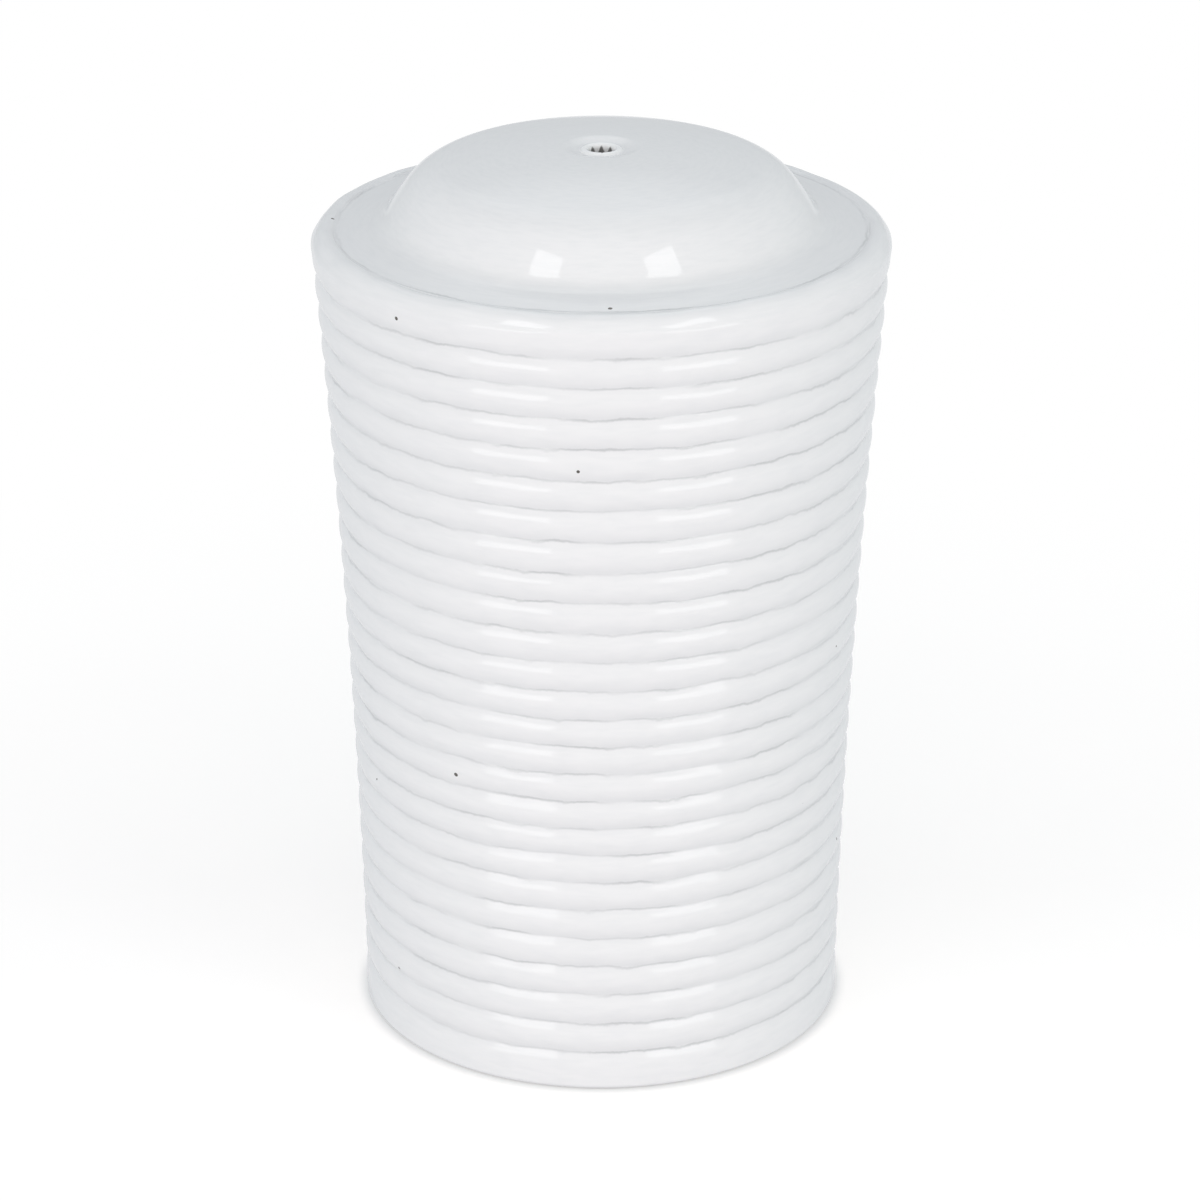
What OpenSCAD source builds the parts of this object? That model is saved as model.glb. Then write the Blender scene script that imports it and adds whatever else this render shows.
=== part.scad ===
// Pepper shaker: a ribbed, tapered porcelain body with a domed top and a soft stopper in its base.
// Millimetres. The origin is the middle of the foot, on the table, and +Z is up.

/* [Body] */
// Height of the shoulder rim above the table
rim_h = 72.4; // [60:0.1:100]
// Outer diameter at the foot
foot_d = 42.8; // [40:0.1:60]
// Outer diameter at the shoulder rim
rim_d = 49.8; // [46:0.1:66]
// How far the side bows inward between the foot and the rim
side_bow = 0.6; // [0:0.05:1.5]
// Thickness of the porcelain wall
wall = 3.6; // [2.5:0.1:4.5]
// Rounding of the foot ring's two edges
foot_edge_r = 0.5; // [0.3:0.1:1.2]
// Rounding of the rim's outer edge
rim_edge_r = 1.4; // [0.8:0.1:2.5]

/* [Ribs] */
// Spacing of the grooves
rib_pitch = 2.7; // [2:0.1:5]
// Depth of the grooves
rib_depth = 0.4; // [0.1:0.02:0.6]
// Height of the lowest groove above the table, before the drift
foot_band = 3.65; // [3:0.05:8]
// Least height between the top groove and the rim
rim_band = 3.6; // [3:0.1:8]
// How far the hand-turned grooves drift up and down from even spacing
rib_drift = 0.35; // [0:0.05:0.5]
// Number of grooves over which the drift comes back to where it was
drift_span = 17.5; // [8:0.5:30]
// Groove, counted from the lowest, that drifts furthest up
drift_peak = 22.5; // [0:0.5:30]

/* [Dome] */
// Height of the crown above the rim
dome_rise = 7; // [4:0.1:9]
// Diameter of the dome's flank where it meets the shoulder
dome_d = 37.9; // [32:0.1:40]
// How far the flank leans in from upright, in degrees
flank_lean = 35.6; // [25:0.1:50]
// Rounding between the dome's flank and its crown
dome_edge_r = 5.7; // [4.5:0.1:9]
// Radius of the crown, which is flatter than the edge
crown_r = 66; // [50:1:300]
// Fillet where the dome rises from the shoulder
dome_foot_r = 2.2; // [0.6:0.1:3]
// Slope of the shoulder, which rises from the rim to the dome, in degrees
shoulder_slope = 9.5; // [4:0.5:20]
// Rounding of the shallow gutter between the rim and the shoulder
gutter_r = 0.8; // [0.4:0.1:1.5]
// How far the rim's rounding turns past its top into the gutter, in degrees
gutter_turn = 20; // [5:1:30]

/* [Sprinkle hole] */
// Diameter of the sprinkle hole
hole_d = 2.2; // [1.5:0.1:4]
// Radius of the rolled lip around the hole
hole_lip_r = 0.4; // [0.2:0.05:0.8]
// Angle at which the lip's roll rises out of the dimple, in degrees
lip_foot_angle = 30; // [10:5:60]
// Width of the dimple around the lip
dimple_w = 1.6; // [0.8:0.1:3]
// Depth of the dimple
dimple_depth = 0.35; // [0.1:0.05:0.6]

/* [Base] */
// Width of the foot ring, with its rounded edges
foot_ring_w = 3.7; // [3:0.1:5]
// Height of the recess inside the foot ring
recess_h = 2.6; // [2:0.1:4]
// Fillet around the top of the recess
recess_r = 1; // [0.3:0.1:1.4]
// Thickness of the base around the filler hole
base_t = 4; // [3:0.1:6]
// Diameter of the filler hole
filler_d = 24; // [18:0.5:25]
// Rounding of the filler hole's two edges
filler_edge_r = 0.5; // [0.2:0.1:1]
// Rounding of the cavity at its floor and under its shoulder
cavity_r = 3; // [1.5:0.1:4]

/* [Stopper] */
// Clearance between the stopper's beads and the filler hole
fit_gap = 0.1; // [0.05:0.01:0.3]
// Clearance between the stopper's flange and the base
seat_gap = 0.1; // [0.05:0.01:0.3]
// How far the flange reaches past the edge of the filler hole
flange_lap = 2.6; // [1.5:0.1:3.5]
// Thickness of the flange
flange_t = 1.2; // [0.8:0.1:1.6]
// How far the plug reaches past the base into the cavity
plug_past = 3.3; // [1:0.1:8]
// How far the beads stand out of the plug
bead_out = 0.5; // [0.2:0.05:0.8]
// Rounding of each bead
bead_r = 0.7; // [0.5:0.05:0.8]
// Number of beads along the filler hole
bead_count = 2; // [1:1:2]
// Wall thickness of the hollow plug
plug_wall = 1.6; // [1:0.1:2.5]
// Rounding of the plug's leading edge
plug_edge_r = 1; // [0.5:0.1:1.5]
// Thickness of the grip bar inside the plug
grip_t = 2; // [1.5:0.1:3]
// Diameter of the bead along the grip bar's lower edge
grip_bead_d = 3.2; // [2.5:0.1:4]
// How far the grip bar is set back from the flange's outer face
grip_inset = 0.4; // [0.2:0.1:1]

/* [Hidden] */
$fn = 120;

// Largest turn between two points of an arc, in degrees
arc_step = 8;
// Steps from the middle of a rib to the groove beside it
rib_steps = 4;
// Steps across the dimple, and down the cavity's bowed wall
dimple_steps = 7;
cavity_steps = 10;

foot_r = foot_d/2;
rim_r = rim_d/2;
filler_r = filler_d/2;
hole_r = hole_d/2;
foot_inner_r = foot_r - foot_ring_w;
floor_z = recess_h + base_t;
rim_edge_z = rim_h - rim_edge_r;
top_z = rim_h + dome_rise;
groove_count = 1 + floor((rim_h - rim_band - foot_band)/rib_pitch);

// The gutter's circle touches the rim's circle from outside, and the shoulder rises from it in a line
rim_c = [rim_r - rim_edge_r, rim_edge_z];
gutter_c = rim_c + (rim_edge_r + gutter_r)*[-sin(gutter_turn), cos(gutter_turn)];
gutter_z = gutter_c.y - gutter_r;
shoulder_n = [sin(shoulder_slope), cos(shoulder_slope)];
shoulder_level = gutter_c*shoulder_n - gutter_r;

// The flank is the straight line that meets the shoulder at the dome's diameter
flank_n = [cos(flank_lean), sin(flank_lean)];
flank_foot = [dome_d/2, (shoulder_level - shoulder_n.x*dome_d/2)/shoulder_n.y];
flank_level = flank_foot*flank_n;

// The dome's edge circle touches the flank and the crown from inside
crown_c = [0, top_z - crown_r];
edge_off = flank_level - dome_edge_r - crown_c*flank_n;
edge_up = sqrt((crown_r - dome_edge_r)^2 - edge_off^2);
edge_c = crown_c + edge_off*flank_n + edge_up*[-flank_n.y, flank_n.x];
crown_angle = atan2(edge_c.y - crown_c.y, edge_c.x);

// The fillet's circle touches both the flank and the shoulder
fillet_flank = flank_level + dome_foot_r;
fillet_shoulder = shoulder_level + dome_foot_r;
fillet_x = fillet_flank*shoulder_n.y - fillet_shoulder*flank_n.y;
fillet_y = fillet_shoulder*flank_n.x - fillet_flank*shoulder_n.x;
fillet_c = [fillet_x, fillet_y]/(flank_n.x*shoulder_n.y - flank_n.y*shoulder_n.x);

// The cavity's ceiling follows the dome, one wall below it, and its shoulder lies one wall below the gutter
inner_edge_r = dome_edge_r - wall;
inner_shoulder_z = gutter_z - wall;
inner_dome_angle = asin(min(1, max(0, (inner_shoulder_z - edge_c.y)/inner_edge_r)));

// The lip's roll stands in the dimple, and its inner side is the hole's wall
lip_foot_r = hole_r + hole_lip_r*(1 + cos(lip_foot_angle));
lip_c = [hole_r + hole_lip_r, crown_z(lip_foot_r) - dimple_depth - hole_lip_r*sin(lip_foot_angle)];

seat_z = recess_h - seat_gap;
flange_z = seat_z - flange_t;
flange_r = filler_r + flange_lap;
plug_r = filler_r - fit_gap - bead_out;
plug_top_z = floor_z + plug_past;
cup_r = plug_r - plug_wall;
cup_top_z = plug_top_z - plug_wall;

// Points of an arc around c, from angle a0 to angle a1
function arc(c, r, a0, a1) =
    let (steps = max(2, ceil(abs(a1 - a0)/arc_step)))
        [for (i = [0:steps]) let (a = a0 + (a1 - a0)*i/steps) c + r*[cos(a), sin(a)]];

// All points but the first, for an arc that goes on from the last one
function tail(points) = [for (i = [1:len(points) - 1]) points[i]];

// Height of the crown at a radius
function crown_z(r) = crown_c.y + sqrt(crown_r^2 - r^2);

// Radius of the ribs' crests at a height: a straight taper, bowed inward by a parabola
function side_r(z) =
    let (t = z/rim_edge_z) foot_r + (rim_r - foot_r)*t - 4*side_bow*t*(1 - t);

// Height of a groove: even spacing, plus a slow wave
function groove_z(i) = foot_band + i*rib_pitch + rib_drift*cos(360*(i - drift_peak)/drift_span);

// Each rib is a parabola between two grooves, so the cut is deepest in the groove and none on the crest
function rib_cut(from_groove) = rib_depth*(1 - 2*abs(from_groove)/rib_pitch)^2;

// The ribbed side, between the rounded foot and the rounded rim
function side_points() =
    [for (i = [0:groove_count - 1])
        for (j = [-rib_steps:rib_steps - 1])
            let (from_groove = j*rib_pitch/(2*rib_steps), z = groove_z(i) + from_groove)
                if (z > foot_edge_r && z < rim_edge_z) [side_r(z) - rib_cut(from_groove), z]];

// The foot ring, from the inside outward
function foot_points() =
    concat(
        arc([foot_inner_r + foot_edge_r, foot_edge_r], foot_edge_r, 180, 270),
        arc([foot_r - foot_edge_r, foot_edge_r], foot_edge_r, -90, 0));

// The rim's rounding, then the gutter
function rim_points() =
    concat(
        arc(rim_c, rim_edge_r, 0, 90 + gutter_turn),
        tail(arc(gutter_c, gutter_r, gutter_turn - 90, -90 - shoulder_slope)));

// The fillet, the flank and the dome's edge, then the crown as far as the dimple
function dome_points() =
    concat(
        arc(fillet_c, dome_foot_r, -90 - shoulder_slope, flank_lean - 180),
        arc(edge_c, dome_edge_r, flank_lean, crown_angle),
        tail(arc(crown_c, crown_r, crown_angle, acos((lip_foot_r + dimple_w)/crown_r))));

// A smooth dimple in the crown, and the rolled lip that rises out of it
function hole_points() =
    concat(
        [for (i = [1:dimple_steps - 1])
            let (t = i/dimple_steps, r = lip_foot_r + dimple_w*(1 - t))
                [r, crown_z(r) - dimple_depth*(1 - cos(180*t))/2]],
        arc(lip_c, hole_lip_r, lip_foot_angle, 180));

// The ceiling from the sprinkle hole outward, then the space under the shoulder
function ceiling_points() =
    concat(
        arc(crown_c, crown_r - wall, acos(hole_r/(crown_r - wall)), crown_angle),
        tail(arc(edge_c, inner_edge_r, crown_angle, inner_dome_angle)),
        [[edge_c.x + inner_edge_r*cos(inner_dome_angle), inner_shoulder_z]]);

function cavity_wall_points() =
    let (z1 = inner_shoulder_z - cavity_r, z0 = floor_z + cavity_r)
        concat(
            arc([side_r(z1) - wall - cavity_r, z1], cavity_r, 90, 0),
            [for (i = [1:cavity_steps - 1]) let (z = z1 + (z0 - z1)*i/cavity_steps) [side_r(z) - wall, z]],
            arc([side_r(z0) - wall - cavity_r, z0], cavity_r, 0, -90));

// The filler hole with its rounded edges, and the recess inside the foot ring
function base_points() =
    concat(
        arc([filler_r + filler_edge_r, floor_z - filler_edge_r], filler_edge_r, 90, 180),
        arc([filler_r + filler_edge_r, recess_h + filler_edge_r], filler_edge_r, 180, 270),
        arc([foot_inner_r - recess_r, recess_h - recess_r], recess_r, 90, 0));

// One closed section turned about the axis: up the outside, through the sprinkle hole, down the inside
module porcelain_body() {
    color("whitesmoke")
    rotate_extrude()
    polygon(concat(
        foot_points(), side_points(), rim_points(), dome_points(), hole_points(),
        ceiling_points(), cavity_wall_points(), base_points()));
}

// The beads share the length of the filler hole
function bead_z(i) = recess_h + base_t*(i + 0.5)/bead_count;

// A bead bulges out of the plug's side
function bead_points(z) =
    let (half_angle = acos((bead_r - bead_out)/bead_r))
        arc([plug_r + bead_out - bead_r, z], bead_r, -half_angle, half_angle);

// The flange, the beaded plug and its hollow, which opens downward
module stopper_cup() {
    rotate_extrude()
    polygon(concat(
        [[cup_r, flange_z]],
        arc([flange_r - flange_t/2, flange_z + flange_t/2], flange_t/2, -90, 90),
        [[plug_r, seat_z]],
        [for (i = [0:bead_count - 1]) each bead_points(bead_z(i))],
        arc([plug_r - plug_edge_r, plug_top_z - plug_edge_r], plug_edge_r, 0, 90),
        [[0, plug_top_z], [0, cup_top_z], [cup_r, cup_top_z]]));
}

// A bar across the hollow, beaded along its lower edge and ending inside the plug's wall
module grip_bar() {
    edge_z = flange_z + grip_inset + grip_bead_d/2;
    root_z = cup_top_z + plug_wall/2;
    intersection() {
        translate([0, plug_r, 0])
        rotate([90, 0, 0])
        linear_extrude(2*plug_r)
        union() {
            translate([0, edge_z]) circle(d = grip_bead_d);
            translate([-grip_t/2, edge_z]) square([grip_t, root_z - edge_z]);
        }
        cylinder(h = plug_top_z, r = cup_r + plug_wall/2);
    }
}

module base_stopper() {
    color("gainsboro")
    union() {
        stopper_cup();
        grip_bar();
    }
}

porcelain_body();
base_stopper();
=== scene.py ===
# %% [markdown]
# # A ribbed porcelain pepper shaker
# The real object is one glazed porcelain casting, open at the base, with a soft stopper that closes it.
# The solids come from the frame, at their real size. This lesson dresses them: it turns a finer porcelain
# shell on the same axis, gives it a glaze, and lights it like a product on a white table.

# %% Load the frame
import math
import bpy
import numpy as np
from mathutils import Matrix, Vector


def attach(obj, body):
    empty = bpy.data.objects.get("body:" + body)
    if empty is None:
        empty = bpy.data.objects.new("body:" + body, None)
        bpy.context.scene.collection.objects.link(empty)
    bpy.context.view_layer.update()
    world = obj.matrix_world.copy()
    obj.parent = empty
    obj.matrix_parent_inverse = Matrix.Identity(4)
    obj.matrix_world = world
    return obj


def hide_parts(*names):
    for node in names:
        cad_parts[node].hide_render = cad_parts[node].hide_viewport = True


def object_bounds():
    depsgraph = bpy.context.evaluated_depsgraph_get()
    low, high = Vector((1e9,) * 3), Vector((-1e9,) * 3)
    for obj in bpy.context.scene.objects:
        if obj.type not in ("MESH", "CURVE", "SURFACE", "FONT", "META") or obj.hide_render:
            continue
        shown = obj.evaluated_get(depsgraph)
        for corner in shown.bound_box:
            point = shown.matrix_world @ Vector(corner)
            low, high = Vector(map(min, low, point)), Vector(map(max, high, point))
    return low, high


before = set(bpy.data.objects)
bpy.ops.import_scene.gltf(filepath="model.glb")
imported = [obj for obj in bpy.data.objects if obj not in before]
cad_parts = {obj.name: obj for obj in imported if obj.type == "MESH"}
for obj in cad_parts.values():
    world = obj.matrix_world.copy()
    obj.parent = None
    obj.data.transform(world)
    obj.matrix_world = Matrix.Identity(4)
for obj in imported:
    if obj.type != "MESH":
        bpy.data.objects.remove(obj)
cad_low, cad_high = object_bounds()
MM = 0.001

# %% [markdown]
# ## The camera
# The shaker was photographed from a little above, with a short telephoto lens. The height of the camera shows
# in how round the rim looks, and its distance in how much rounder the grooves look at the foot than at the rim.
# A camera can be aimed with a constraint, but a rotation worked out once is easier to check.

# %% Camera
view_elevation, view_distance = math.radians(22.7), 400*MM
aim_point = np.array([-0.12, 0, 37.5])*MM
sensor_width, focal_length, nearest = 36, 135.4, 10*MM

camera_data = bpy.data.cameras.new("product_camera")
camera_data.sensor_width, camera_data.lens, camera_data.clip_start = sensor_width, focal_length, nearest
camera = bpy.data.objects.new("product_camera", camera_data)
bpy.context.scene.collection.objects.link(camera)
camera.location = aim_point + view_distance*np.array([0, -math.cos(view_elevation), math.sin(view_elevation)])
camera.rotation_euler = (math.pi/2 - view_elevation, 0, 0)
bpy.context.scene.camera = camera
print("camera at", [round(x/MM, 1) for x in camera.location], "mm")

# %% [markdown]
# ## The sizes of the porcelain
# These are the casting's own sizes, in millimetres and degrees. The radius of the rim comes from the frame, so
# the shell can't come out wider than the solid that it stands for.

# %% Driving sizes
rim_r = cad_high.x/MM
rim_h, rim_edge_r = 72.4, 1.4
foot_r, foot_edge_r, foot_ring_w = 21.4, 0.5, 3.7
side_bow, wall = 0.6, 3.6
rib_pitch, rib_depth, foot_band, groove_count = 2.7, 0.4, 3.65, 25
rib_drift, drift_span, drift_peak = 0.35, 17.5, 22.5
crown_h, crown_r, dome_r, dome_edge_r, flank_lean = 79.4, 66.0, 18.95, 5.7, 35.6
dome_foot_r, shoulder_slope, gutter_r, gutter_turn = 2.2, 9.5, 0.8, 20.0
hole_r, hole_lip_r, lip_foot_angle, dimple_w, dimple_depth = 1.1, 0.4, 30.0, 1.6, 0.35
recess_h, recess_r, base_t, filler_r, filler_edge_r, cavity_r = 2.6, 1.0, 4.0, 12.0, 0.5, 3.0
print("rim radius from the frame:", round(rim_r, 3), "mm")

# %% [markdown]
# ## The outline of the side
# The side tapers to the foot and bows in a little. Shallow grooves were turned into the plaster mould's model,
# and the glaze rounds them: between two grooves the rib is a low curve, and in the groove it turns sharply.
# One formula gives the radius at any height, so a groove is only a dip in that formula.

# %% Side outline
rim_edge_z = rim_h - rim_edge_r
groove = np.arange(groove_count)
groove_z = foot_band + rib_pitch*groove + rib_drift*np.cos(2*np.pi*(groove - drift_peak)/drift_span)
groove_softness = 0.1
rib_steps = np.array([-0.5, -0.4, -0.3, -0.2, -0.12, -0.06, -0.025, 0, 0.025, 0.06, 0.12, 0.2, 0.3, 0.4])


def side_radius(z):
    """Straight taper from foot to rim, less a parabola that is deepest half way up."""
    t = z/rim_edge_z
    return foot_r + (rim_r - foot_r)*t - 4*side_bow*t*(1 - t)


def groove_cut(offset):
    """Depth below the crest at a distance from a groove: full in the groove, none half a pitch away."""
    rounded = np.sqrt(offset**2 + groove_softness**2)
    return rib_depth*np.clip(1 - 2*rounded/rib_pitch, 0, 1)**2


from_groove = np.tile(rib_steps*rib_pitch, groove_count)
side_z = np.repeat(groove_z, len(rib_steps)) + from_groove
side = np.column_stack([side_radius(side_z) - groove_cut(from_groove), side_z])
print(len(side), "points on the side, radius", side[:, 0].min().round(2), "to", side[:, 0].max().round(2), "mm")

# %% [markdown]
# ## The shoulder and the dome
# Inside the rim the casting dips into a shallow gutter, and the shoulder rises from it to the leaning flank of
# a flat-topped dome. The outline could be drawn by hand as a curve. Arcs and lines that touch each other give
# it with few numbers, and each of them is a size that can be measured.

# %% Arcs, directions and lines


def arc(centre, radius, start, end, count):
    """Points at a radius around a centre, at even angles from start to end in degrees."""
    angle = np.radians(np.linspace(start, end, count))
    return np.column_stack([centre[0] + radius*np.cos(angle), centre[1] + radius*np.sin(angle)])


def direction(degrees):
    """Unit vector in the plane of the outline, at an angle from straight outward."""
    return np.array([math.cos(math.radians(degrees)), math.sin(math.radians(degrees))])


def between(first, last, count):
    """Evenly spaced points inside a straight line, without its ends."""
    share = np.linspace(0, 1, count + 2)[1:-1, None]
    return first + share*(last - first)


print("three points of a quarter circle:", arc((0, 0), 1, 0, 90, 3).round(2).tolist())

# %% Circles of the top
rim_c = np.array([rim_r - rim_edge_r, rim_edge_z])
gutter_c = rim_c + (rim_edge_r + gutter_r)*direction(90 + gutter_turn)
shoulder_n, flank_n = direction(90 - shoulder_slope), direction(flank_lean)
shoulder_level = gutter_c @ shoulder_n - gutter_r
flank_foot = np.array([dome_r, (shoulder_level - shoulder_n[0]*dome_r)/shoulder_n[1]])
flank_level = flank_foot @ flank_n
crown_c = np.array([0, crown_h - crown_r])
edge_off = flank_level - dome_edge_r - crown_c @ flank_n
edge_up = math.sqrt((crown_r - dome_edge_r)**2 - edge_off**2)
edge_c = crown_c + edge_off*flank_n + edge_up*direction(flank_lean + 90)
crown_angle = math.degrees(math.atan2(edge_c[1] - crown_c[1], edge_c[0]))
print("dome's edge turns around", edge_c.round(2), "and meets the crown at", round(crown_angle, 1), "degrees")

# %% [markdown]
# On the real dome the flank isn't dead straight, and a very slight swell there keeps a lamp's reflection from
# smearing along all of it. A large circle stands for the swell. It goes on from the dome's edge, and its radius
# is solved so that the fillet touches both it and the shoulder.

# %% Flank with its swell
flank_swell = 2.8
flank_high, flank_low = direction(flank_lean + flank_swell), direction(flank_lean - flank_swell)
flank_top = edge_c + dome_edge_r*flank_high
to_shoulder = shoulder_level + dome_foot_r*(1 - flank_low @ shoulder_n) - flank_top @ shoulder_n
flank_r = to_shoulder/((flank_low - flank_high) @ shoulder_n)
flank_c = flank_top - flank_r*flank_high
fillet_c = flank_c + (flank_r + dome_foot_r)*flank_low
print("flank swells with a radius of", round(flank_r, 1), "mm, fillet centre", fillet_c.round(2))

# %% [markdown]
# The rim's rounding isn't one even arc: wiping the raw glaze left a soft bevel on it, which faces the softboxes
# and glints. A curve that turns by small steps, each with a radius of its own, gives that. The radii below and
# above the bevel are solved, so the curve still ends where the gutter starts.

# %% Rim with its bevel
bevel_r, bevel_from, bevel_to = 4.5, 31.0, 39.0
rim_turns = [np.linspace(0, bevel_from, 5), np.linspace(bevel_from, bevel_to, 5),
             np.linspace(bevel_to, 90 + gutter_turn, 11)]


def turning_steps(degrees):
    """Steps of a curve of radius 1 that leaves upright and turns inward: turn times the mean direction."""
    middle = np.radians((degrees[1:] + degrees[:-1])/2)
    return np.radians(np.diff(degrees))[:, None]*np.column_stack([-np.sin(middle), np.cos(middle)])


low_steps, bevel_steps, high_steps = (turning_steps(turns) for turns in rim_turns)
rim_start, rim_end = rim_c + [rim_edge_r, 0], rim_c + rim_edge_r*direction(90 + gutter_turn)
ways = np.column_stack([low_steps.sum(axis=0), high_steps.sum(axis=0)])
low_r, high_r = np.linalg.solve(ways, rim_end - rim_start - bevel_r*bevel_steps.sum(axis=0))
rim_steps = np.vstack([low_r*low_steps, bevel_r*bevel_steps, high_r*high_steps])
rim = rim_start + np.vstack([[0, 0], np.cumsum(rim_steps, axis=0)])
print("rim radii below and above the bevel:", low_r.round(2), high_r.round(2), "mm")

# %% [markdown]
# ## The sprinkle hole
# The hole was punched in the middle of the crown while the clay was soft, which left a dimple and a rolled lip.
# A half wave makes the dimple, and an arc that stands in it makes the lip. The hole's wall below the lip gets a
# few rows of its own, because it is darkened there, by pepper stain and by painted shade.

# %% Points from the gutter to the crown
lip_lean = math.radians(lip_foot_angle)
lip_foot_r = hole_r + hole_lip_r*(1 + math.cos(lip_lean))


def crown_z(r):
    """Height of the crown's large circle at a radius."""
    return crown_c[1] + np.sqrt(crown_r**2 - r**2)


gutter = arc(gutter_c, gutter_r, gutter_turn - 90, -90 - shoulder_slope, 8)[1:]
fillet = arc(fillet_c, dome_foot_r, -90 - shoulder_slope, flank_lean - flank_swell - 180, 10)
shoulder = between(gutter[-1], fillet[0], 6)
flank = arc(flank_c, flank_r, flank_lean - flank_swell, flank_lean + flank_swell, 8)[1:]
dome_edge = arc(edge_c, dome_edge_r, flank_lean + flank_swell, crown_angle, 20)[1:]
crown_out = np.linspace(dome_edge[-1, 0], lip_foot_r + dimple_w, 10)[1:]
crown = np.column_stack([crown_out, crown_z(crown_out)])
print("the crown runs from radius", crown_out[0].round(2), "to", crown_out[-1].round(2), "mm")

# %% Points of the dimple and the lip
stain_and_shade_depth = 0.5
dip = np.linspace(0, 1, 11)[1:-1]
dimple_out = lip_foot_r + dimple_w*(1 - dip)
dimple = np.column_stack([dimple_out, crown_z(dimple_out) - dimple_depth*(1 - np.cos(np.pi*dip))/2])
lip_c = (hole_r + hole_lip_r, crown_z(lip_foot_r) - dimple_depth - hole_lip_r*math.sin(lip_lean))
lip = arc(lip_c, hole_lip_r, lip_foot_angle, 180, 16)
stain_and_shade_end = lip[-1] - [0, stain_and_shade_depth]
lip = np.vstack([lip, between(lip[-1], stain_and_shade_end, 3), [stain_and_shade_end]])
top = np.vstack([rim, gutter, shoulder, fillet, flank, dome_edge, crown, dimple, lip])
print(len(top), "outline points from the rim to the hole, highest", top[:, 1].max().round(2), "mm")

# %% [markdown]
# ## The inside and the base
# The inside shows only through the two holes, but a shell with a true wall shades and shadows as the real one
# does. The outline goes on through the sprinkle hole, down the cavity and out through the filler hole, until
# it meets the foot where it began.

# %% Inner outline
inner_shoulder_z = gutter_c[1] - gutter_r - wall
floor_z = recess_h + base_t
ceiling_r = np.linspace(hole_r, edge_c[0], 6)[:-1]
ceiling = np.column_stack([ceiling_r, crown_c[1] + np.sqrt((crown_r - wall)**2 - ceiling_r**2)])
inner_dome = arc(edge_c, dome_edge_r - wall, crown_angle, 0, 8)
inner_step = np.array([[inner_dome[-1, 0], inner_shoulder_z]])
z_high, z_low = inner_shoulder_z - cavity_r, floor_z + cavity_r
cavity_z = np.linspace(z_high, z_low, 8)[1:-1]
cavity = np.vstack([
    arc((side_radius(z_high) - wall - cavity_r, z_high), cavity_r, 90, 0, 6),
    np.column_stack([side_radius(cavity_z) - wall, cavity_z]),
    arc((side_radius(z_low) - wall - cavity_r, z_low), cavity_r, 0, -90, 6)])
print("the cavity reaches from", floor_z, "to", ceiling[:, 1].max().round(2), "mm above the table")

# %% Base, foot and the whole outline
foot_inner_r = foot_r - foot_ring_w
base = np.vstack([
    arc((filler_r + filler_edge_r, floor_z - filler_edge_r), filler_edge_r, 90, 180, 5),
    arc((filler_r + filler_edge_r, recess_h + filler_edge_r), filler_edge_r, 180, 270, 5),
    arc((foot_inner_r - recess_r, recess_h - recess_r), recess_r, 90, 0, 6)])
foot = np.vstack([
    arc((foot_inner_r + foot_edge_r, foot_edge_r), foot_edge_r, 180, 270, 5),
    arc((foot_r - foot_edge_r, foot_edge_r), foot_edge_r, -90, 0, 6)])
outline = np.vstack([foot, side, top, ceiling, inner_dome, inner_step, cavity, base])
print(len(outline), "outline points in one closed loop")

# %% [markdown]
# ## Turning the outline into a shell
# A lathe shape can be made with a Screw modifier. Here the grid is worked out with numpy instead, because each
# point then also carries numbers for the finish. A hand-finished casting isn't perfect: its grooves waver by
# about a tenth of a millimetre around the body, so the grid is shifted by a few slow waves.

# %% Grid that the outline makes
turn_steps = 192


def lathe_grid(outline_points, count):
    """Angle, radius and height of each grid point: the outline carried around the axis in even steps."""
    angle = np.linspace(0, 2*np.pi, count, endpoint=False)[None, :]
    radius = np.repeat(outline_points[:, :1], count, axis=1)
    height = np.repeat(outline_points[:, 1:], count, axis=1)
    return np.broadcast_to(angle, radius.shape), radius, height


def rows_after(start, *pieces):
    """Rows of the outline that these pieces take up, counted on from a row."""
    return slice(start, start + sum(len(piece) for piece in pieces))


angle, radius, height = lathe_grid(outline, turn_steps)
side_rows = rows_after(len(foot), side)
rim_rows = rows_after(side_rows.stop, rim)
gutter_rows = rows_after(rim_rows.stop, gutter)
shoulder_rows = rows_after(gutter_rows.stop, shoulder, fillet)
lip_rows = rows_after(side_rows.stop + len(top) - len(lip), lip)
ceiling_rows = rows_after(lip_rows.stop, ceiling)
print("grid of", radius.shape, "points, the side in rows", side_rows.start, "to", side_rows.stop)

# %% Wavering grooves
groove_waver, out_of_round = 0.13, 0.03
# size, number of waves around the axis, drift with height and start of each wave
waver_waves = [(0.8, 2, 0.55, 0), (0.6, 3, -0.83, 1.3), (0.7, 7, 1.31, 2.1),
               (0.6, 13, -1.7, 0), (0.5, 22, 2.3, 0.4), (0.4, 31, -3.1, 0)]
waver_peak = 3.4


def slow_waves(angle, height):
    """Sum of sine waves around the axis whose phases drift with height, between about -1 and 1."""
    waves = [size*np.sin(count*angle + drift*height + start) for size, count, drift, start in waver_waves]
    return sum(waves)/waver_peak


free = np.zeros((len(outline), 1))
free[side_rows, 0] = np.clip((side_z - foot_edge_r)/(foot_band - foot_edge_r), 0, 1)
free[rim_rows] = 1
height = height + groove_waver*free*slow_waves(angle, height)
radius = radius - out_of_round*free*(1 + slow_waves(angle + 1, 0.2*height))/2
print("the rim is", radius[rim_rows].max().round(3), "mm in radius at its widest")

# %% Porcelain shell


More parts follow.
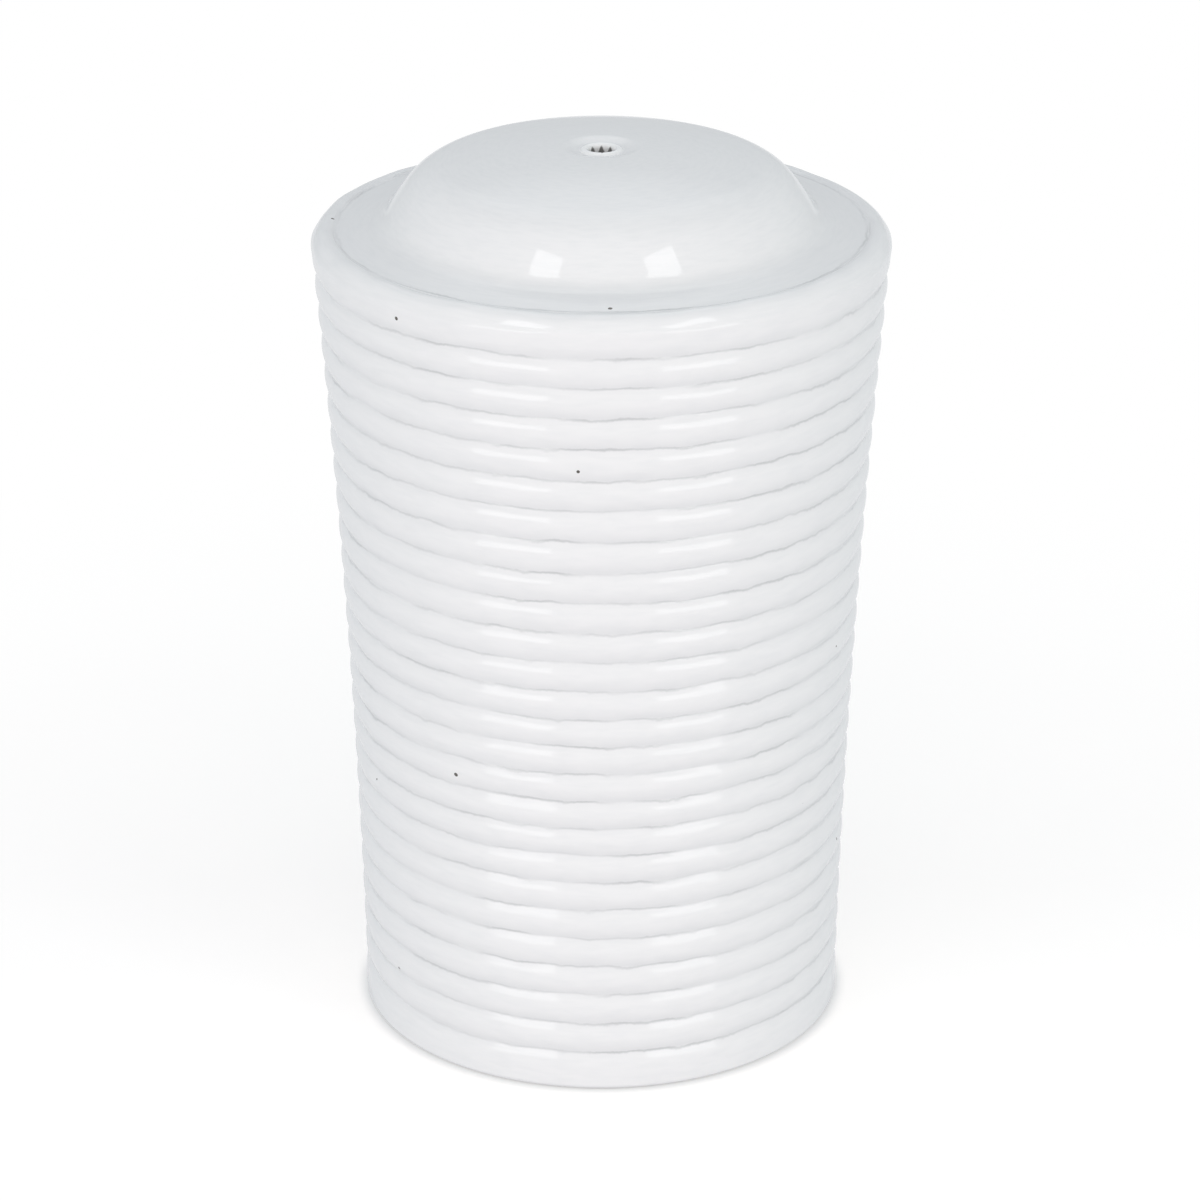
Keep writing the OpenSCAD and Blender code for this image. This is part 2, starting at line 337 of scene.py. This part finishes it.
def grid_mesh(name, points):
    """Mesh of a grid that closes on itself both ways; its faces point out of a loop drawn anticlockwise."""
    rows, columns = points.shape[:2]
    index = np.arange(rows*columns).reshape(rows, columns)
    after = np.roll(index, -1, axis=1)
    above, above_after = np.roll(index, -1, axis=0), np.roll(after, -1, axis=0)
    faces = np.stack([index, after, above_after, above], axis=-1).reshape(-1, 4)
    mesh = bpy.data.meshes.new(name)
    mesh.from_pydata(points.reshape(-1, 3), [], faces)
    mesh.polygons.foreach_set("use_smooth", np.ones(len(faces), bool))
    return mesh


shell_points = np.stack([radius*np.cos(angle), radius*np.sin(angle), height], axis=-1)*MM
shell_mesh = grid_mesh("porcelain_shell", shell_points)
shell = bpy.data.objects.new("porcelain_shell", shell_mesh)
bpy.context.scene.collection.objects.link(shell)
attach(shell, "shaker")
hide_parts("porcelain_body")
print("porcelain shell:", 2*len(shell_mesh.polygons), "triangles")

# %% [markdown]
# ## Where the glaze runs thick, and painted shade
# Melted glaze gathers in the grooves, in the gutter and along the foot of the dome, where it looks a little
# greyer and bluer; the same greying also paints shade into these hollows and onto the shoulder. Painting such
# masks by hand would do, but all of them follow from the outline, so they are stored as numbers on the points.
# The distance from the nearest groove is stored as a sine and a cosine, which run on smoothly from one rib to
# the next.

# %% Masks of the thick glaze and painted shade
seep_and_shade_width, collar_seep_and_shade = 0.45, 0.4


def length_along(points):
    """Distance along a line of points, from its first one."""
    return np.concatenate([[0], np.cumsum(np.hypot(*np.diff(points, axis=0).T))])


across = np.full(len(outline), rib_pitch/2)
across[side_rows] = from_groove
along = length_along(np.vstack([rim, gutter, shoulder]))
from_gutter = along - along[len(rim) + gutter[:, 1].argmin()]
across[rows_after(side_rows.stop, along)] = np.clip(from_gutter, -rib_pitch/2, rib_pitch/2)
phase = 2*np.pi*across/rib_pitch

# glaze pooling and painted shade: greyer along each groove and in the gutter, fading over the shoulder
seep = np.zeros(len(outline))
seep[side_rows] = np.exp(-(from_groove/seep_and_shade_width)**2)
seep[gutter_rows] = collar_seep_and_shade
seep[shoulder_rows] = np.linspace(collar_seep_and_shade, 0, len(shoulder) + len(fillet))
print("glaze gathers in", np.count_nonzero(seep > collar_seep_and_shade/2), "of", len(outline), "rows")

# %% [markdown]
# ## Where it is thin, bare, stained or painted
# Over the hole's lip the colour is whiter: thin glaze, and a painted highlight. The ring that the shaker stands
# on is wiped bare before firing, or it would stick to the kiln shelf. The wall of the hole and the ceiling next
# to it get dark streaks, partly pepper stain and partly painted shade of the hole's inside, and pepper dust
# clings to the inside. Most of these are whole rows of the outline; only the streaks also follow the angle.

# %% Masks of the hole, the foot and the inside
wiped_share, stain_and_shade_start = 0.3, 140
streak_count, streak_sway, streak_edge, streak_gap, stain_and_shade_most = 8, 0.3, 4, 0.9, 0.85
thin, bare, stain, dusty = np.zeros((4, len(outline)))
# the lip is whiter: thin glaze and a painted highlight
thin[lip_rows] = 1
bare[:len(foot)] = foot[:, 1] < foot_edge_r*wiped_share
dusty[lip_rows.stop:-len(base)] = 1

lip_along = length_along(lip)
stain_and_shade_from = math.radians(stain_and_shade_start - lip_foot_angle)*hole_lip_r
# painted shade with pepper stain: the hole's wall darkens from part way down the lip's inner side, and the
# ceiling darkens towards the hole
stain[lip_rows] = np.clip((lip_along - stain_and_shade_from)/(lip_along[-1] - stain_and_shade_from), 0, 1)
stain[ceiling_rows] = np.linspace(1, 0, len(ceiling))**2
# the dark is split into streaks around the hole, with white gaps between them
turn = angle[0] - np.pi/2
gap = (1 - np.cos(streak_count*turn + streak_sway*np.sin(3*turn)))/2
streaks = np.clip(streak_edge*(stain[:, None] - streak_gap*gap[None, :]), 0, stain_and_shade_most)
print("stained share of the hole's wall:", (streaks[lip_rows] > 0).mean().round(2))

# %% Store the masks


def store_mask(mesh, name, values):
    """Keeps one number per point on the mesh, for the material to read."""
    attribute = mesh.attributes.new(name, "FLOAT", "POINT")
    attribute.data.foreach_set("value", values.astype(np.float32).ravel())


row_masks = {"line_sine": np.sin(phase), "line_cosine": np.cos(phase), "glaze_seep_and_shade": seep,
             "thin_glaze_and_highlight": thin, "bare_foot": bare, "dusty_inside": dusty}
for name, row_values in row_masks.items():
    store_mask(shell_mesh, name, np.repeat(row_values, turn_steps))
    print(name, "from", row_values.min().round(2), "to", row_values.max().round(2))
# dark streaks in the hole: pepper stain and painted shade
store_mask(shell_mesh, "stain_and_hole_shade", streaks)
print("stain_and_hole_shade from", streaks.min().round(2), "to", streaks.max().round(2))

# %% [markdown]
# ## Nodes that plug together
# Every finish is a small network of nodes. It is usually drawn in the Shader Editor. In a script a few helpers
# keep it readable: each input takes either a socket, which is linked, or a fixed value.

# %% Node helpers
EASED = "SMOOTHSTEP"


def plug(tree, target, value):
    """Links a socket to the target input, or sets that input to a fixed value."""
    if isinstance(value, bpy.types.NodeSocket):
        tree.links.new(value, target)
    else:
        target.default_value = value


def add_node(tree, kind, settings=None, **inputs):
    """Adds a node, sets its properties and plugs its named inputs."""
    made = tree.nodes.new(kind)
    for name, value in (settings or {}).items():
        setattr(made, name, value)
    for name, value in inputs.items():
        plug(tree, made.inputs[name.replace("_", " ")], value)
    return made


def calculate(tree, operation, *values, kind="ShaderNodeMath", result="Value"):
    """The result of a node that calculates with its inputs, in their order."""
    made = add_node(tree, kind, {"operation": operation})
    for target, value in zip(made.inputs, values):
        plug(tree, target, value)
    return made.outputs[result]


def calculate_vector(tree, operation, *values, result="Vector"):
    """The same with vectors; lengths and dot products come out as Value."""
    return calculate(tree, operation, *values, kind="ShaderNodeVectorMath", result=result)


def remap(tree, value, low, high, to_low=0, to_high=1, ease="LINEAR"):
    """A value moved from one range to another, evenly or eased, and held at the ends."""
    made = add_node(tree, "ShaderNodeMapRange", {"interpolation_type": ease},
                    Value=value, From_Min=low, From_Max=high, To_Min=to_low, To_Max=to_high)
    return made.outputs["Result"]


def object_place(tree):
    """Where a point lies on the object, in metres."""
    return add_node(tree, "ShaderNodeTexCoord").outputs["Object"]


print("node helpers:", [helper.__name__ for helper in (plug, add_node, calculate, remap, object_place)])

# %% [markdown]
# ## Two effects that the finishes share
# Porcelain and soft plastic both have a skin that isn't quite even, and both carry a few tiny specks: kiln dust
# in the glaze, pepper dust on the stopper. Each effect is a node group with its own inputs, built once.

# %% Uneven skin
fine_share = 0.25


def new_group(name, inputs, outputs):
    """An empty node group with float sockets: its tree, its input node and its output node."""
    tree = bpy.data.node_groups.new(name, "ShaderNodeTree")
    for label, value in inputs.items():
        tree.interface.new_socket(label, in_out="INPUT", socket_type="NodeSocketFloat").default_value = value
    for label in outputs:
        tree.interface.new_socket(label, in_out="OUTPUT", socket_type="NodeSocketFloat")
    return tree, tree.nodes.new("NodeGroupInput"), tree.nodes.new("NodeGroupOutput")


uneven_skin, given, out = new_group("uneven_skin", {"Broad scale": 150, "Fine scale": 900}, ["Broad", "Height"])
place = object_place(uneven_skin)
broad = add_node(uneven_skin, "ShaderNodeTexNoise", Vector=place, Scale=given.outputs["Broad scale"], Detail=2)
fine = add_node(uneven_skin, "ShaderNodeTexNoise", Vector=place, Scale=given.outputs["Fine scale"], Detail=3)
total = calculate(uneven_skin, "MULTIPLY_ADD", fine.outputs["Fac"], fine_share, broad.outputs["Fac"])
plug(uneven_skin, out.inputs["Broad"], broad.outputs["Fac"])
plug(uneven_skin, out.inputs["Height"], total)
print("group uneven_skin has", len(uneven_skin.nodes), "nodes")

# %% [markdown]
# Specks are small discs in some of the cells of a Voronoi pattern. Each cell has a random colour, and its red
# decides by lot whether that cell gets a speck.

# %% Specks
specks, given, out = new_group("specks", {"Scale": 100, "Size": 0.1, "Share": 0.05}, ["Mask"])
cells = add_node(specks, "ShaderNodeTexVoronoi", Vector=object_place(specks), Scale=given.outputs["Scale"])
lot = add_node(specks, "ShaderNodeSeparateColor", Color=cells.outputs["Color"]).outputs["Red"]
chosen = calculate(specks, "LESS_THAN", lot, given.outputs["Share"])
inside = calculate(specks, "LESS_THAN", cells.outputs["Distance"], given.outputs["Size"])
plug(specks, out.inputs["Mask"], calculate(specks, "MULTIPLY", chosen, inside))
print("group specks has", len(specks.nodes), "nodes")

# %% [markdown]
# ## The glaze
# A clear glaze over a white body is a smooth, hard, slightly wavy skin. A plain white gloss would look like
# plastic, so the colour follows the masks: greyer where glaze pools, with painted shade in the grooves, the
# gutter and the hole, whiter on the lip as a painted highlight, chalky where the foot is bare, and a few dark
# kiln specks.
# A very small bump bends the lamps' reflections a little, as a real glaze does.

# %% Porcelain material
glaze_ior = 1.52


def mask(tree, name):
    """The numbers that store_mask kept on the mesh."""
    return add_node(tree, "ShaderNodeAttribute", {"attribute_name": name}).outputs["Fac"]


def use_group(tree, group, **inputs):
    """Places a shared node group with its own values."""
    return add_node(tree, "ShaderNodeGroup", {"node_tree": group}, **inputs)


def new_material(name):
    """A material with one Principled shader: the material, its tree and the shader."""
    material = bpy.data.materials.new(name)
    material.use_nodes = True
    return material, material.node_tree, material.node_tree.nodes["Principled BSDF"]


porcelain, tree, shader = new_material("glazed_porcelain")
shader.inputs["IOR"].default_value = glaze_ior
skin = use_group(tree, uneven_skin, Broad_scale=140, Fine_scale=700)
shell_mesh.materials.append(porcelain)
print("material", porcelain.name, "with an index of refraction of", glaze_ior)

# %% [markdown]
# Turning leaves faint streaks around the axis. A noise makes them when it runs slowly with the angle and fast
# across it, on the side as well as on the dome. A mix of height and radius does for "across" on both.

# %% Turning marks
streaks_around, streaks_across, streak_slant = 9, 2600, -0.7
place = object_place(tree)
flat = calculate_vector(tree, "MULTIPLY", place, (1, 1, 0))
from_axis = calculate_vector(tree, "LENGTH", flat, result="Value")
up = add_node(tree, "ShaderNodeSeparateXYZ", Vector=place).outputs["Z"]
slanted = calculate(tree, "MULTIPLY_ADD", up, streak_slant, from_axis)
lifted = add_node(tree, "ShaderNodeCombineXYZ", Z=calculate(tree, "MULTIPLY", slanted, streaks_across))
ring = calculate_vector(tree, "NORMALIZE", flat)
stretched = calculate_vector(tree, "MULTIPLY_ADD", ring, (streaks_around,)*3, lifted.outputs["Vector"])
noise = add_node(tree, "ShaderNodeTexNoise", Vector=stretched, Scale=1, Detail=2)
turning_marks = remap(tree, noise.outputs["Fac"], 0.4, 0.75)
print("turning marks:", streaks_across*MM, "across a millimetre")

# %% [markdown]
# In each groove, and in the gutter, the pooled glaze draws a thin grey line, which is painted shade there as
# well.
# A noise kinks the line a little, and the broad waves of the skin make it stronger in some places than in
# others.

# %% Pooled lines and painted groove shade
kink_size, line_width = 1.7, 0.45
faintest, strongest = 0.03, 0.46
noise = add_node(tree, "ShaderNodeTexNoise", Vector=object_place(tree), Scale=360, Detail=4, Roughness=0.62)
kink = calculate(tree, "SUBTRACT", noise.outputs["Fac"], 0.5)
shifted = calculate(tree, "MULTIPLY_ADD", kink, kink_size, mask(tree, "line_sine"))
line = remap(tree, calculate(tree, "ABSOLUTE", shifted), 0, line_width, 1, 0, EASED)
in_groove = calculate(tree, "GREATER_THAN", mask(tree, "line_cosine"), 0)
patches = remap(tree, skin.outputs["Broad"], 0.36, 0.64, faintest, strongest)
# painted shade: a dark grey line in each groove and in the gutter, on top of pooled glaze
pooled_and_shaded_lines = calculate(tree, "MULTIPLY", calculate(tree, "MULTIPLY", line, in_groove), patches)
print("pooled lines cover up to", strongest, "of the glaze's colour")

# %% Colours of the glaze
white_glaze = (0.84, 0.84, 0.845, 1)
# grey-blue of thick glaze; it also serves as painted shade along the grooves, in the gutter and on the shoulder
thick_glaze_and_shade = (0.71, 0.725, 0.74, 1)
# dark grey of pooled glaze, used for the painted shade in the grooves
pooled_glaze_and_shade = (0.36, 0.37, 0.38, 1)
# whiter glaze of the lip, which is also a painted highlight there
thin_white_and_highlight = (0.93, 0.93, 0.93, 1)
kiln_speck = (0.10, 0.09, 0.08, 1)
# dark brown of pepper, for the dust inside and for the painted shade in the hole
pepper_and_shade_brown = (0.07, 0.065, 0.06, 1)
bare_clay = (0.76, 0.75, 0.72, 1)
marks_strength, seep_and_shade_strength = 0.22, 0.25


def mix_colours(tree, factor, first, second):
    """Colour between first and second by factor; each of the three is a socket or a fixed value."""
    mix = add_node(tree, "ShaderNodeMix", {"data_type": "RGBA"})
    # the node's colour sockets are its inputs 6 and 7 and its output 2
    for target, value in zip((mix.inputs[0], mix.inputs[6], mix.inputs[7]), (factor, first, second)):
        plug(tree, target, value)
    return mix.outputs[2]


kiln_dust = use_group(tree, specks, Scale=200, Size=0.038, Share=0.65).outputs["Mask"]
clinging = use_group(tree, specks, Scale=1100, Size=0.3, Share=0.22).outputs["Mask"]
layers = [
    (calculate(tree, "MULTIPLY", turning_marks, marks_strength), thick_glaze_and_shade),
    # glaze seep: pooled glaze and painted shade in the grooves, the gutter and the shoulder
    (calculate(tree, "MULTIPLY", mask(tree, "glaze_seep_and_shade"), seep_and_shade_strength), thick_glaze_and_shade),
    # pooled lines: pooled glaze and painted groove shade
    (pooled_and_shaded_lines, pooled_glaze_and_shade),
    # the lip: thin glaze and a painted highlight
    (mask(tree, "thin_glaze_and_highlight"), thin_white_and_highlight),
    (kiln_dust, kiln_speck),
    (calculate(tree, "MULTIPLY", clinging, mask(tree, "dusty_inside")), pepper_and_shade_brown),
    # the hole's streaks: pepper stain and painted shade
    (mask(tree, "stain_and_hole_shade"), pepper_and_shade_brown),
    (mask(tree, "bare_foot"), bare_clay)]
glaze_colour = white_glaze
for amount, layer in layers:
    glaze_colour = mix_colours(tree, amount, glaze_colour, layer)
print(len(layers), "layers of colour over the white glaze")

# %% Glazed porcelain
glaze_roughness, clay_roughness = 0.05, 0.8
glaze_bump, glaze_bump_depth = 0.25, 0.03*MM


def dress(tree, shader, colour, roughness, skin, strength, depth):
    """Plugs a colour and a roughness into the shader, and bumps its normal by the skin's height."""
    bump = add_node(tree, "ShaderNodeBump", Strength=strength, Distance=depth, Height=skin.outputs["Height"])
    plug(tree, shader.inputs["Base Color"], colour)
    plug(tree, shader.inputs["Roughness"], roughness)
    plug(tree, shader.inputs["Normal"], bump.outputs["Normal"])


roughness = remap(tree, mask(tree, "bare_foot"), 0, 1, glaze_roughness, clay_roughness)
dress(tree, shader, glaze_colour, roughness, skin, glaze_bump, glaze_bump_depth)
print("glazed porcelain has", len(tree.nodes), "nodes")

# %% [markdown]
# ## The stopper
# The stopper is one soft moulding, and its solid already has the right shape, beads and grip bar included, so
# only its finish changes. Soft plastic is cloudy and slightly greasy: a satin skin with an even fine grain, and
# some pepper dust that clings to it.

# %% Soft stopper
stopper_grey = (0.60, 0.61, 0.60, 1)
stopper_cloud = (0.68, 0.69, 0.68, 1)
pepper_dust = (0.16, 0.12, 0.09, 1)
satin_least, satin_most = 0.38, 0.55
stopper_bump, stopper_bump_depth = 0.35, 0.04*MM

soft_plastic, tree, shader = new_material("soft_stopper")
skin = use_group(tree, uneven_skin, Broad_scale=220, Fine_scale=2600)
dust = use_group(tree, specks, Scale=900, Size=0.16, Share=0.03)
colour = mix_colours(tree, skin.outputs["Broad"], stopper_grey, stopper_cloud)
colour = mix_colours(tree, dust.outputs["Mask"], colour, pepper_dust)
roughness = remap(tree, skin.outputs["Broad"], 0, 1, satin_least, satin_most)
dress(tree, shader, colour, roughness, skin, stopper_bump, stopper_bump_depth)
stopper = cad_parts["base_stopper"]
stopper.data.materials.clear()
stopper.data.materials.append(soft_plastic)

# %% [markdown]
# ## The table
# A product on white paper needs a floor that looks white and still holds a soft shadow. A large plane would do;
# here it is a disc that fades into the white world around it. It lies a hair below the foot ring, because two
# faces in one plane would flicker through each other.

# %% Floor disc
floor_rings, floor_steps, floor_drop = [20*MM, 60*MM, 200*MM, 900*MM], 96, 0.03*MM


def disc_mesh(name, radii, level, count):
    """Flat rings around the axis at one level, closed in the middle by one many-sided face."""
    angle = np.linspace(0, 2*np.pi, count, endpoint=False)
    ring = np.stack([np.cos(angle), np.sin(angle), np.zeros(count)], axis=-1)
    points = (np.asarray(radii)[:, None, None]*ring).reshape(-1, 3) + [0, 0, level]
    index = np.arange(len(radii)*count).reshape(len(radii), count)
    after = np.roll(index, -1, axis=1)
    faces = np.stack([index[:-1], index[1:], after[1:], after[:-1]], axis=-1).reshape(-1, 4)
    mesh = bpy.data.meshes.new(name)
    mesh.from_pydata(points, [], [list(index[0])] + faces.tolist())
    return mesh


floor_mesh = disc_mesh("paper_floor", floor_rings, -floor_drop, floor_steps)
floor = bpy.data.objects.new("paper_floor", floor_mesh)
bpy.context.scene.collection.objects.link(floor)
print("floor radius", floor_rings[-1], "m")

# %% [markdown]
# Seen by the camera the floor is lit paper, lifted by a little glow of its own, except close to the foot, which
# leaves a thin contact shadow there. For the light that it sends back up it is an even glow, so the underside
# of the foot isn't black, and a mirrored look at it is a blend of both. From below it is clear.

# %% Paper
paper_white = (0.92, 0.92, 0.92, 1)
paper_lift = (0.31, 0.285, 0.265, 1)
paper_glow = (0.63, 0.645, 0.675, 1)
contact_from, contact_to = (foot_r - 0.6)*MM, (foot_r + 1.2)*MM
fade_from, fade_to = 35*MM, 140*MM
mirrored_share = 0.55


def mirrored_ray(tree, path):
    """1 for a look that comes by way of a mirror or a clear body, and 0 for all others."""
    return calculate(tree, "MAXIMUM", path.outputs["Is Glossy Ray"], path.outputs["Is Transmission Ray"])


def mix_shaders(tree, factor, first, second):
    """A shader between two others by factor."""
    made = add_node(tree, "ShaderNodeMixShader")
    for target, value in zip(made.inputs, (factor, first, second)):
        plug(tree, target, value)
    return made.outputs["Shader"]


paper = bpy.data.materials.new("paper")
paper.use_nodes = True
tree = paper.node_tree
tree.nodes.clear()
distance = calculate_vector(tree, "LENGTH", object_place(tree), result="Value")
filled = remap(tree, distance, contact_from, contact_to, ease=EASED)
fade = remap(tree, distance, fade_from, fade_to, ease=EASED)
lit = add_node(tree, "ShaderNodeBsdfDiffuse", Color=paper_white)
lift = add_node(tree, "ShaderNodeEmission", Color=paper_lift, Strength=filled)
near = add_node(tree, "ShaderNodeAddShader")
for target, part in zip(near.inputs, (lit, lift)):
    plug(tree, target, part.outputs[0])
far = add_node(tree, "ShaderNodeEmission", Strength=1)
looked_at = mix_shaders(tree, fade, near.outputs["Shader"], far.outputs["Emission"])
print("contact shadow up to", round(contact_to/MM, 1), "mm, paper fades out by", round(fade_to/MM), "mm")

# %% Paper, by the way that it is seen
path = add_node(tree, "ShaderNodeLightPath")
blend = calculate(tree, "MULTIPLY", mirrored_ray(tree, path), mirrored_share)
seen = calculate(tree, "MAXIMUM", path.outputs["Is Camera Ray"], blend)
glow = add_node(tree, "ShaderNodeEmission", Color=paper_glow)
clear = add_node(tree, "ShaderNodeBsdfTransparent")
from_below = add_node(tree, "ShaderNodeNewGeometry").outputs["Backfacing"]
upper_side = mix_shaders(tree, seen, glow.outputs["Emission"], looked_at)
both_sides = mix_shaders(tree, from_below, upper_side, clear.outputs["BSDF"])
add_node(tree, "ShaderNodeOutputMaterial", Surface=both_sides)
floor_mesh.materials.append(paper)
print("paper has", len(tree.nodes), "nodes")

# %% [markdown]
# ## The white room
# The room lights the shaker evenly and a little coolly, so upward faces come out darker and bluer than the
# front, as in the studio. The camera sees it as white. What the glaze mirrors is a room with walls that whiten
# upwards and a ceiling that glows softly behind the shaker, which draws an edge around it and a gradient over
# the crown. A photographed panorama could do this too; a few nodes are easier to tune.

# %% World
room_light = (0.485, 0.523, 0.56, 1)
dim_wall = (0.70, 0.71, 0.72, 1)
white = (1, 1, 1, 1)
ceiling_glow, glow_elevation, glow_edge = (1.6, 1.6, 1.6, 1), math.radians(54), 0.88
wall_foot, wall_top = -0.1, 0.75

world = bpy.data.worlds.new("white_room")
bpy.context.scene.world = world
world.use_nodes = True
tree = world.node_tree
tree.nodes.clear()
path = add_node(tree, "ShaderNodeLightPath")
way = add_node(tree, "ShaderNodeTexCoord").outputs["Generated"]
up = add_node(tree, "ShaderNodeSeparateXYZ", Vector=way).outputs["Z"]
glow_way = (0, math.cos(glow_elevation), math.sin(glow_elevation))
towards = calculate_vector(tree, "DOT_PRODUCT", way, glow_way, result="Value")
room = mix_colours(tree, remap(tree, up, wall_foot, wall_top, ease=EASED), dim_wall, white)
room = mix_colours(tree, remap(tree, towards, glow_edge, 1, ease=EASED), room, ceiling_glow)
colour = mix_colours(tree, mirrored_ray(tree, path), room_light, room)
colour = mix_colours(tree, path.outputs["Is Camera Ray"], colour, white)
background = add_node(tree, "ShaderNodeBackground", Color=colour)
add_node(tree, "ShaderNodeOutputWorld", Surface=background.outputs["Background"])
print("white room has", len(tree.nodes), "nodes")

# %% [markdown]
# ## The lamps
# Two small softboxes hang above, left and right of the camera, and show as twin patches on the dome. Two low
# cards on the table draw the bright lines along the ribs. Four large panels, one of them slightly warm behind
# the camera, light the front, the sides and the top. They don't show in the glaze, because in the studio they
# were diffused.

# %% Lamps


def softbox(name, azimuth, elevation, distance, width, height, brightness, tint=(1, 1, 1)):
    """Rectangular lamp that faces the shaker; brightness is that of its face, where 1 is white paper."""
    lamp_data = bpy.data.lights.new(name, "AREA")
    lamp_data.shape = "RECTANGLE"
    lamp_data.size, lamp_data.size_y = width, height
    lamp_data.energy = brightness*math.pi*width*height
    lamp_data.color = tint
    lamp = bpy.data.objects.new(name, lamp_data)
    bpy.context.scene.collection.objects.link(lamp)
    a, e = math.radians(azimuth), math.radians(elevation)
    lamp.location = (distance*math.sin(a)*math.cos(e), -distance*math.cos(a)*math.cos(e),
                     distance*math.sin(e) + aim_point[2])
    lamp.rotation_euler = (math.pi/2 - e, 0, a)
    return lamp


# azimuth and elevation in degrees, then distance, width and height in metres, and brightness
softbox("left_softbox", -36, 47.5, 0.7, 0.15, 0.136, 2.3)
softbox("right_softbox", 40, 47.5, 0.7, 0.17, 0.136, 2.3)
softbox("left_card", -35, 1, 0.28, 0.15, 0.08, 1.6)
softbox("right_card", 37, 1, 0.28, 0.15, 0.08, 1.6)
panels = [softbox("front_panel", 0, 12, 1.0, 0.9, 0.8, 1.64, tint=(1, 0.85, 0.78)),
          softbox("left_panel", -70, 15, 1.0, 0.8, 0.8, 0.97, tint=(0.97, 1, 0.93)),
          softbox("right_panel", 70, 23, 1.0, 0.8, 0.8, 0.82, tint=(0.94, 1, 0.89)),
          softbox("back_panel", 180, 49, 1.0, 1.0, 0.46, 0.5)]
for panel in panels:
    panel.visible_glossy = False
bpy.context.scene.view_settings.view_transform = "Standard"
